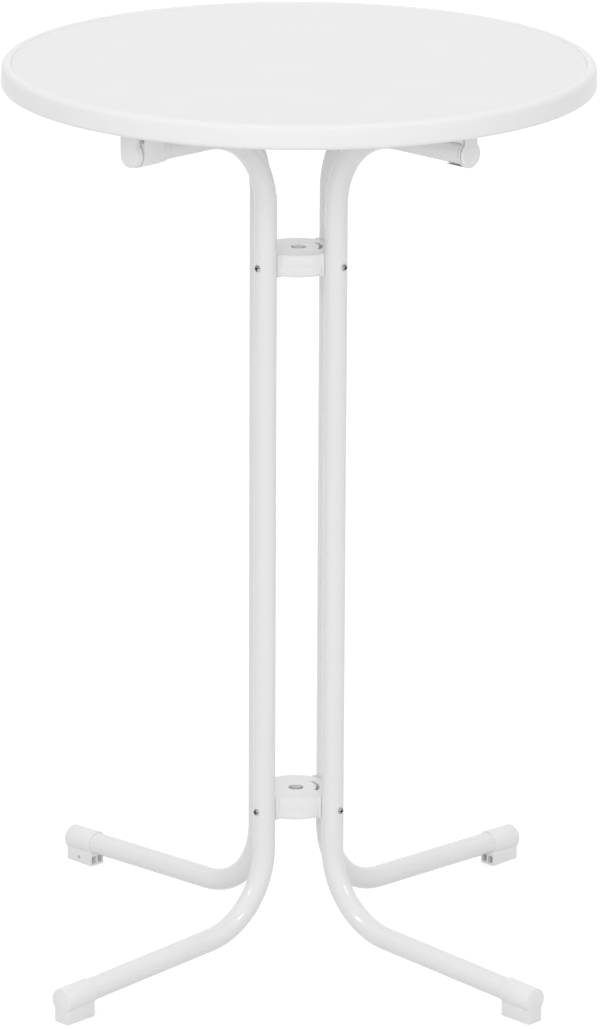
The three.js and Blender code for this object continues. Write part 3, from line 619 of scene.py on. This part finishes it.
for hub, height in HUB_HEIGHTS.items():
    low, high = height - JOINT_GAP / 2 - HUB_HALF_THICKNESS, height + JOINT_GAP / 2 + HUB_HALF_THICKNESS
    for half, legs, body in (("fixed", FIXED_LEGS, "fixed_frame"), ("swing", SWING_LEGS, "swing_frame")):
        on_top = half == "swing"
        z0, z1 = (height + HUB_SEAM, high) if on_top else (low, height - HUB_SEAM)
        face, inward = (z1, -1) if on_top else (z0, 1)
        over = face - inward * OVERRUN
        other_low, other_high = (low - OVERRUN, z0) if on_top else (z1, high + OVERRUN)
        dish_spread = (DISH_RADIUS - RECESS_RADIUS) * OVERRUN / DISH_DEPTH
        ears = []
        saddles = []
        for azimuth in legs.values():
            ear = brick((EAR_INNER, SIDE - EAR_HALF, low), (EAR_OUTER, SIDE + EAR_HALF, high))
            ears.append(turned_by(eased(ear, EAR_ROUND), azimuth))
            saddle = cylinder(BORE_RADIUS, (TUBE_CIRCLE, SIDE, low - OVERRUN),
                              (TUBE_CIRCLE, SIDE, high + OVERRUN), SADDLE_STEPS)
            saddles.append(turned_by(saddle, azimuth))
        cuts = [
            cylinder(HUB_RADIUS + JOINT_GAP, (0, 0, other_low), (0, 0, other_high), HUB_STEPS),
            cylinder(PIVOT_RADIUS + JOINT_GAP, (0, 0, z0 - OVERRUN), (0, 0, z1 + OVERRUN), PIVOT_STEPS),
            cylinder(RECESS_RADIUS, (0, 0, face + inward * RECESS_DEPTH), (0, 0, over)),
            cylinder(RECESS_RADIUS, (0, 0, face + inward * DISH_DEPTH), (0, 0, over),
                     end_radius=DISH_RADIUS + dish_spread),
            *saddles,
        ]
        if on_top:
            cuts.append(stop_slot(z0 - OVERRUN, z1 + OVERRUN))
        mesh = carve(disc(z0, z1, on_top), joined=ears, cut=cuts)
        finish_piece(f"{hub}_{half}_disc", mesh, 0, nylon, body, [f"{hub}_hub_{half}_half"])

# Pivot hardware. A hexagon bolt, two washers and a nut, all bright zinc-plated steel, let the
# discs turn on each other. A steel pin in the lower disc stops them at both ends of its slot.
ZINC_SHINE_LOW = 0.22
ZINC_SHINE_HIGH = 0.42

# Bright zinc plate on steel: a cool grey metal, half mirror, with clouds of about 6 mm.
zinc, clouds, _ = clouded_finish("bright_zinc_plated_steel", "C6C8CA", "93969A", patch_mm=6.0, detail=4.0)
zinc_shader = zinc.node_tree.nodes["Principled BSDF"]
zinc_shader.inputs["Metallic"].default_value = 1.0
shine = add_node(zinc.node_tree, "ShaderNodeMapRange",
                 {"Value": clouds, "To Min": ZINC_SHINE_LOW, "To Max": ZINC_SHINE_HIGH})
zinc.node_tree.links.new(shine.outputs["Result"], zinc_shader.inputs["Roughness"])

for hub in HUB_HEIGHTS:
    for part in ("top_washer", "pivot_bolt", "bottom_washer", "pivot_nut", "stop_pin"):
        coat(f"{hub}_{part}", zinc)

# Screws. Zinc-plated pan-head screws with a cross recess: eight through the tubes into the
# hub discs, and eight up through the bracket flanges. One node tree makes and places them.
HUB_SCREW = {"Head": 8.5, "Crown": 2.0, "Shank": 3.0, "Length": 40.0, "Cross": 6.6}
BRACKET_SCREW = {"Head": 8.0, "Crown": 2.2, "Shank": 4.0, "Length": 16.0, "Cross": 5.2}
DOME_SEGMENTS = 32
DOME_RINGS = 24
BARREL_STEPS = 48
SHANK_STEPS = 20
CROSS_SLIT_SHARE = 0.26
CROSS_LIFT_SHARE = 0.75
SCREW_TILT = 5.0
SCREW_SEED = 7
SCREW_TURN = math.pi / 2
RECESS_SHADE_ROUGHNESS = 0.6

screw_tree = bpy.data.node_groups.new("pan_head_screws", "GeometryNodeTree")
# The recess input takes the material that paints the shade in the cross.
given, out = tree_inputs(screw_tree, [
    ("Geometry", "NodeSocketGeometry"), ("Head", "NodeSocketFloat"), ("Crown", "NodeSocketFloat"),
    ("Shank", "NodeSocketFloat"), ("Length", "NodeSocketFloat"), ("Cross", "NodeSocketFloat"),
    ("Seed", "NodeSocketInt"), ("Finish", "NodeSocketMaterial"), ("Painted Recess Shade", "NodeSocketMaterial")])

# The head: the top of a flattened ball, cut square to a disc by a barrel.
scaled = {}
for name, size, share in (("head_radius", "Head", 0.5), ("half_crown", "Crown", 0.5),
                          ("shank_radius", "Shank", 0.5), ("shank_drop", "Length", -0.5),
                          ("slit", "Cross", CROSS_SLIT_SHARE), ("cross_lift", "Crown", CROSS_LIFT_SHARE)):
    scaled[name] = add_node(screw_tree, "ShaderNodeMath", {0: given[size], 1: share},
                            operation="MULTIPLY").outputs[0]
ball = add_node(screw_tree, "GeometryNodeMeshUVSphere",
                {"Segments": DOME_SEGMENTS, "Rings": DOME_RINGS, "Radius": 1.0})
ball_size = add_node(screw_tree, "ShaderNodeCombineXYZ",
                     {"X": scaled["head_radius"], "Y": scaled["head_radius"], "Z": given["Crown"]})
dome = add_node(screw_tree, "GeometryNodeTransform",
                {"Geometry": ball.outputs[0], "Scale": ball_size.outputs[0]})
barrel = add_node(screw_tree, "GeometryNodeMeshCylinder",
                  {"Vertices": BARREL_STEPS, "Radius": given["Head"], "Depth": given["Crown"]})
barrel_lift = add_node(screw_tree, "ShaderNodeCombineXYZ", {"Z": scaled["half_crown"]})
barrel = add_node(screw_tree, "GeometryNodeTransform",
                  {"Geometry": barrel.outputs[0], "Translation": barrel_lift.outputs[0]})
head = add_node(screw_tree, "GeometryNodeMeshBoolean", {"Mesh 2": (dome.outputs[0], barrel.outputs[0])},
                operation="INTERSECT", solver="EXACT")

# The cross: two bars sunk into the head, whose faces are marked as recess.
bar_lift = add_node(screw_tree, "ShaderNodeCombineXYZ", {"Z": scaled["cross_lift"]})
bars = []
for wide, narrow in ((given["Cross"], scaled["slit"]), (scaled["slit"], given["Cross"])):
    bar_size = add_node(screw_tree, "ShaderNodeCombineXYZ", {"X": wide, "Y": narrow, "Z": given["Crown"]})
    bar = add_node(screw_tree, "GeometryNodeMeshCube", {"Size": bar_size.outputs[0]})
    bar = add_node(screw_tree, "GeometryNodeTransform",
                   {"Geometry": bar.outputs[0], "Translation": bar_lift.outputs[0]})
    bar = add_node(screw_tree, "GeometryNodeStoreNamedAttribute",
                   {"Geometry": bar.outputs[0], "Name": "recess", "Value": 1.0},
                   data_type="FLOAT", domain="FACE")
    bars.append(bar.outputs[0])
recessed = add_node(screw_tree, "GeometryNodeMeshBoolean",
                    {"Mesh 1": head.outputs[0], "Mesh 2": tuple(bars)},
                    operation="DIFFERENCE", solver="EXACT")

# The shank, and a copy of the whole screw on each seat, driven home at its own angle.
shank = add_node(screw_tree, "GeometryNodeMeshCylinder",
                 {"Vertices": SHANK_STEPS, "Radius": scaled["shank_radius"], "Depth": given["Length"]})
shank_place = add_node(screw_tree, "ShaderNodeCombineXYZ", {"Z": scaled["shank_drop"]})
shank = add_node(screw_tree, "GeometryNodeTransform",
                 {"Geometry": shank.outputs[0], "Translation": shank_place.outputs[0]})
screw = add_node(screw_tree, "GeometryNodeJoinGeometry",
                 {"Geometry": (recessed.outputs[0], shank.outputs[0])})
outward = add_node(screw_tree, "GeometryNodeInputNamedAttribute", {"Name": "outward"},
                   data_type="FLOAT_VECTOR")
aim = add_node(screw_tree, "FunctionNodeAlignRotationToVector", {"Vector": outward.outputs[0]}, axis="Z")
placed = add_node(screw_tree, "GeometryNodeInstanceOnPoints",
                  {"Points": given["Geometry"], "Instance": screw.outputs[0], "Rotation": aim.outputs[0]})
spin = add_node(screw_tree, "FunctionNodeRandomValue", {"Max": SCREW_TURN, "Seed": given["Seed"]},
                data_type="FLOAT")
spin_turn = add_node(screw_tree, "ShaderNodeCombineXYZ", {"Z": spin.outputs["Value"]})
driven = add_node(screw_tree, "GeometryNodeRotateInstances",
                  {"Instances": placed.outputs[0], "Rotation": spin_turn.outputs[0], "Local Space": True})
whole = add_node(screw_tree, "GeometryNodeRealizeInstances", {"Geometry": driven.outputs[0]})
painted = add_node(screw_tree, "GeometryNodeSetMaterial",
                   {"Geometry": whole.outputs[0], "Material": given["Finish"]})
# The cross's faces take the painted shade, a dark material put where the recess's shade falls.
recess = add_node(screw_tree, "GeometryNodeInputNamedAttribute", {"Name": "recess"}, data_type="FLOAT")
in_recess = add_node(screw_tree, "ShaderNodeMath", {0: recess.outputs[0], 1: 0.5}, operation="GREATER_THAN")
painted_cross_shade = add_node(screw_tree, "GeometryNodeSetMaterial", {
    "Geometry": painted.outputs[0], "Selection": in_recess.outputs[0], "Material": given["Painted Recess Shade"]})
screw_tree.links.new(painted_cross_shade.outputs[0], out.inputs["Geometry"])

# Painted shade for the driven cross: a dull, dark metal in fine clouds that stands in for the shade falling
# in the recess.
recess_shade, _, _ = clouded_finish("painted_shade_in_cross", "4A4C4E", "1E1F20", patch_mm=0.8, detail=3.0)
recess_shade_shader = recess_shade.node_tree.nodes["Principled BSDF"]
recess_shade_shader.inputs["Metallic"].default_value = 1.0
recess_shade_shader.inputs["Roughness"].default_value = RECESS_SHADE_ROUGHNESS


def screw_set(name, seats, size, body, nodes):
    """Puts a screw on each seat: (point, outward direction) pairs in millimetres."""
    mesh = bpy.data.meshes.new("seats")
    mesh.from_pydata([tuple(point) for point, _ in seats], [], [])
    mesh.attributes.new("outward", "FLOAT_VECTOR", "POINT")
    for i, (_, direction) in enumerate(seats):
        mesh.attributes["outward"].data[i].vector = direction
    # The cross of each screw gets the painted shade.
    screws = grown(mesh, screw_tree, {**size, "Seed": SCREW_SEED, "Finish": zinc, "Painted Recess Shade": recess_shade})
    finish_piece(name, screws, 0, None, body, nodes)


for legs, body, lean in ((FIXED_LEGS, "fixed_frame", 1), (SWING_LEGS, "swing_frame", -1)):
    tilt = math.radians(SCREW_TILT) * lean
    seats, nodes = [], []
    for place, azimuth in legs.items():
        turn = Matrix.Rotation(math.radians(azimuth), 3, "Z")
        for hub, height in HUB_HEIGHTS.items():
            seats.append((turn @ Vector((TUBE_CIRCLE + TUBE_RADIUS + JOINT_GAP, SIDE, height)),
                          turn @ Vector((math.cos(tilt), 0, math.sin(tilt)))))
            nodes.append(f"{hub}_hub_screw_{place}")
    screw_set(f"hub_screws_{body}", seats, HUB_SCREW, body, nodes)

seats, nodes = [], []
flange_bottom = BRACKET_TOP - FLANGE_THICKNESS
for legs, x0, x1 in ((FIXED_LEGS, BLOCK_START, BLOCK_END), (SWING_LEGS, HOOK_START, HOOK_WALL_END)):
    for place, azimuth in legs.items():
        turn = Matrix.Rotation(math.radians(azimuth), 3, "Z")
        for number, side in ((1, -1), (2, 1)):
            seat = Vector(((x0 + x1) / 2, SIDE + side * FLANGE_SCREW, flange_bottom - JOINT_GAP))
            seats.append((turn @ seat, Vector((0, 0, -1))))
            nodes.append(f"bracket_screw_{place}_{number}")
screw_set("bracket_screws", seats, BRACKET_SCREW, "fixed_frame", nodes)

# Feet. Moulded sleeves pushed over the leg ends, each on a block sole, closed outside and
# hollow towards the middle of the table, where a rib divides the hollow. The rear left foot
# has a slot for the levelling cam instead, with a hole for its pin.
SLEEVE_WALL = 1.5
SLEEVE_STEPS = 96
FOOT_INNER = FOOT_REACH - FOOT_LENGTH
FOOT_ROUND = 0.7
SOLE_HALF = 11.0
SOLE_THICKNESS = 3.0
SOLE_WALL = 2.0
SOLE_END_WALL = 12.0
SOLE_RIB = 2.4
SOLE_HOLLOW_TOP = 12.3
CAM_HEIGHT = 7.4
CAM_HALF_WIDTH = 5.4
CAM_SLOT_HALF = 12.0
CAM_PIN_RADIUS = 2.0
CAM_PIN_STEPS = 24
CAM_CUT_REACH = 20.0


def across_foot(x, z, radius, steps):
    """A cutter that runs across the foot, from side to side."""
    return cylinder(radius, (x, SIDE - CAM_CUT_REACH, z), (x, SIDE + CAM_CUT_REACH, z), steps)


def foot(slots, hollow_end):
    """A sleeve on its sole, with the leg's bore, two hollows beside the rib and any slots cut out."""
    sole = brick((FOOT_INNER, SIDE - SOLE_HALF, 0), (FOOT_REACH, SIDE + SOLE_HALF, LEG_AXIS))
    sleeve = cylinder(BORE_RADIUS + SLEEVE_WALL, on_leg(FOOT_INNER), on_leg(FOOT_REACH), SLEEVE_STEPS)
    along = Vector(on_leg(FOOT_REACH)) - Vector(on_leg(FOOT_INNER))
    for vert in sleeve.verts:
        end = FOOT_INNER if vert.co.x < foot_middle else FOOT_REACH
        vert.co += along * ((end - vert.co.x) / along.x)
    bore = cylinder(SNUG_RADIUS, on_leg(FOOT_INNER - 2 * OVERRUN), on_leg(LEG_END + JOINT_GAP))
    hollows = []
    for side in (-1, 1):
        near, far = sorted((side * SOLE_RIB / 2, side * (SOLE_HALF - SOLE_WALL)))
        hollows.append(brick((FOOT_INNER - OVERRUN, SIDE + near, SOLE_THICKNESS),
                             (hollow_end, SIDE + far, SOLE_HOLLOW_TOP)))
    return carve(eased(sole, FOOT_ROUND), joined=[eased(sleeve, FOOT_ROUND)], cut=[bore, *slots, *hollows])


for body, legs in (("fixed_frame", FIXED_LEGS), ("swing_frame", SWING_LEGS)):
    for place, azimuth in legs.items():
        node = f"foot_{place}"
        slots = []
        hollow_end = FOOT_REACH - SOLE_END_WALL
        if place == "rear_left":
            node = f"levelling_foot_{place}"
            cam_slot = brick((foot_middle - CAM_SLOT_HALF, SIDE - CAM_HALF_WIDTH - JOINT_GAP, -OVERRUN),
                             (foot_middle + CAM_SLOT_HALF, SIDE + CAM_HALF_WIDTH + JOINT_GAP, LEG_AXIS))
            pin_hole = across_foot(foot_middle, CAM_HEIGHT, CAM_PIN_RADIUS + JOINT_GAP, CAM_PIN_STEPS)
            slots = [cam_slot, pin_hole]
            hollow_end = foot_middle - CAM_SLOT_HALF - SOLE_WALL
        finish_piece(f"sole_{place}", foot(slots, hollow_end), azimuth, nylon, body, [node])

# Levelling cam. A nylon wheel held off its middle on a steel pin in the rear left foot,
# with a notched rim for the thumb: turned, its far side pushes the foot off the floor.
CAM_RADIUS = 7.0
CAM_OFFSET = 2.5
CAM_ROUND = 0.4
CAM_STEPS = 72
CAM_NOTCHES = 18
CAM_NOTCH_RADIUS = 0.9
CAM_NOTCH_OUTSET = 0.4
CAM_NOTCH_STEPS = 10

cam_middle = foot_middle + CAM_OFFSET
wheel = cylinder(CAM_RADIUS, (cam_middle, SIDE - CAM_HALF_WIDTH, CAM_HEIGHT),
                 (cam_middle, SIDE + CAM_HALF_WIDTH, CAM_HEIGHT), CAM_STEPS)
cuts = [across_foot(foot_middle, CAM_HEIGHT, CAM_PIN_RADIUS + JOINT_GAP, CAM_PIN_STEPS)]
for i in range(CAM_NOTCHES):
    angle = math.tau * (i + 0.5) / CAM_NOTCHES
    reach = CAM_RADIUS + CAM_NOTCH_OUTSET
    cuts.append(across_foot(cam_middle + reach * math.cos(angle), CAM_HEIGHT + reach * math.sin(angle),
                            CAM_NOTCH_RADIUS, CAM_NOTCH_STEPS))
cam = carve(eased(wheel, CAM_ROUND), cut=cuts)
finish_piece("cam_wheel", cam, SWING_LEGS["rear_left"], nylon, "levelling_cam", ["levelling_cam"])
coat("cam_pin", zinc)

# Setting. A pale floor that keeps the table's shadow, a white surround, and wide soft panels in
# front, above and behind. Two narrow strips light only the tubes, as glints on their gloss.
# Each lamp has its place, what it faces, its width and height, all in metres, and its power.
FLOOR_SIZE = 30.0
FLOOR_THICKNESS = 0.01
FLOOR_TONE = "DCDCDC"
FLOOR_GLOW = 0.5
FILL_LEVEL = 0.58
PANELS = {
    "front_panel": ((-0.3, -6.4, 2.95), (0, 0, 0.9), (7.5, 3.3), 162.0),
    "ceiling_panel": ((0.0, 0.6, 4.6), (0, 0.6, 0), (14.0, 7.0), 90.0),
    "back_panel": ((0.3, 6.0, 2.8), (0, 0, 0.7), (5.0, 2.4), 55.0),
}
GLINT_STRIPS = {
    "left_strip": ((-2.7, -2.1, 2.95), (0, 0, 0.1), (0.55, 1.3), 27.0),
    "right_strip": ((2.45, -2.35, 2.95), (0, 0, 0.1), (0.55, 1.3), 27.0),
}


def white_for_camera(tree, normal_level, white_level):
    """A strength that is white_level for what the camera sees straight or mirrored, else normal_level."""
    ray = add_node(tree, "ShaderNodeLightPath").outputs
    seen = add_node(tree, "ShaderNodeMath", {0: ray["Is Camera Ray"], 1: ray["Is Glossy Ray"]},
                    operation="MAXIMUM")
    seen = add_node(tree, "ShaderNodeMath", {0: seen.outputs[0], 1: ray["Is Transmission Ray"]},
                    operation="MAXIMUM")
    return add_node(tree, "ShaderNodeMapRange", {
        "Value": seen.outputs[0], "To Min": normal_level, "To Max": white_level}).outputs["Result"]


floor_half = FLOOR_SIZE / 2
floor = brick((-floor_half, -floor_half, -FLOOR_THICKNESS), (floor_half, floor_half, 0))
floor = new_object("studio_floor", as_mesh(floor))
floor_finish = bpy.data.materials.new("pale_studio_floor")
floor_finish.use_nodes = True
tree = floor_finish.node_tree
tree.nodes.remove(tree.nodes["Principled BSDF"])
matt = add_node(tree, "ShaderNodeBsdfDiffuse", {"Color": linear(FLOOR_TONE)})
glow = add_node(tree, "ShaderNodeEmission", {"Strength": white_for_camera(tree, 0.0, FLOOR_GLOW)})
both = add_node(tree, "ShaderNodeAddShader", {0: matt.outputs[0], 1: glow.outputs[0]})
tree.links.new(both.outputs[0], tree.nodes["Material Output"].inputs["Surface"])
floor.data.materials.append(floor_finish)

world = bpy.data.worlds.new("white_surround")
bpy.context.scene.world = world
world.use_nodes = True
sky = world.node_tree.nodes["Background"]
sky.inputs["Color"].default_value = linear("FFFFFF")
world.node_tree.links.new(white_for_camera(world.node_tree, FILL_LEVEL, 1.0), sky.inputs["Strength"])

glinting = bpy.data.collections.new("glinting_tubes")
for tube in tubes:
    glinting.objects.link(tube)

for name, (spot, target, (wide, tall), power) in {**PANELS, **GLINT_STRIPS}.items():
    panel = bpy.data.lights.new(name, "AREA")
    panel.shape, panel.size, panel.size_y, panel.energy = "RECTANGLE", wide, tall, power
    light = new_object(name, panel)
    light.location = spot
    light.rotation_euler = (Vector(target) - Vector(spot)).to_track_quat("-Z", "Y").to_euler()
    light.visible_camera = False
    light.visible_glossy = name == "ceiling_panel" or name in GLINT_STRIPS
    if name in GLINT_STRIPS:
        light.visible_diffuse = False
        light.light_linking.receiver_collection = glinting

# Camera. A long lens about six metres away and well above the top, at the photograph's angle.
# Distances are in metres and angles in degrees, fitted to the outlines that the photograph shows.
CAMERA_DISTANCE = 6.15115
CAMERA_HEIGHT = 2.42247
CAMERA_SHIFT_RIGHT = 0.00352
CAMERA_PITCH = 16.99
CAMERA_ROLL = 0.27
CAMERA_YAW = 0.27
CLIP_DISTANCE = 100.0
FOCAL_PIXELS = 5349.43
IMAGE_HEIGHT_PIXELS = 1029
SENSOR = 36.0

view = bpy.data.cameras.new("photo_view")
view.sensor_width = SENSOR
view.lens = FOCAL_PIXELS * SENSOR / IMAGE_HEIGHT_PIXELS
view.clip_end = CLIP_DISTANCE
camera = new_object("photo_view", view)
orbit = Matrix.Rotation(math.radians(-CAMERA_YAW), 4, "Z")
stand = Matrix.Translation((CAMERA_SHIFT_RIGHT, -CAMERA_DISTANCE, CAMERA_HEIGHT))
pitch = Matrix.Rotation(math.radians(90 - CAMERA_PITCH), 4, "X")
roll = Matrix.Rotation(math.radians(CAMERA_ROLL), 4, "Z")
camera.matrix_world = orbit @ stand @ pitch @ roll
bpy.context.scene.camera = camera
bpy.context.scene.view_settings.view_transform = "Standard"
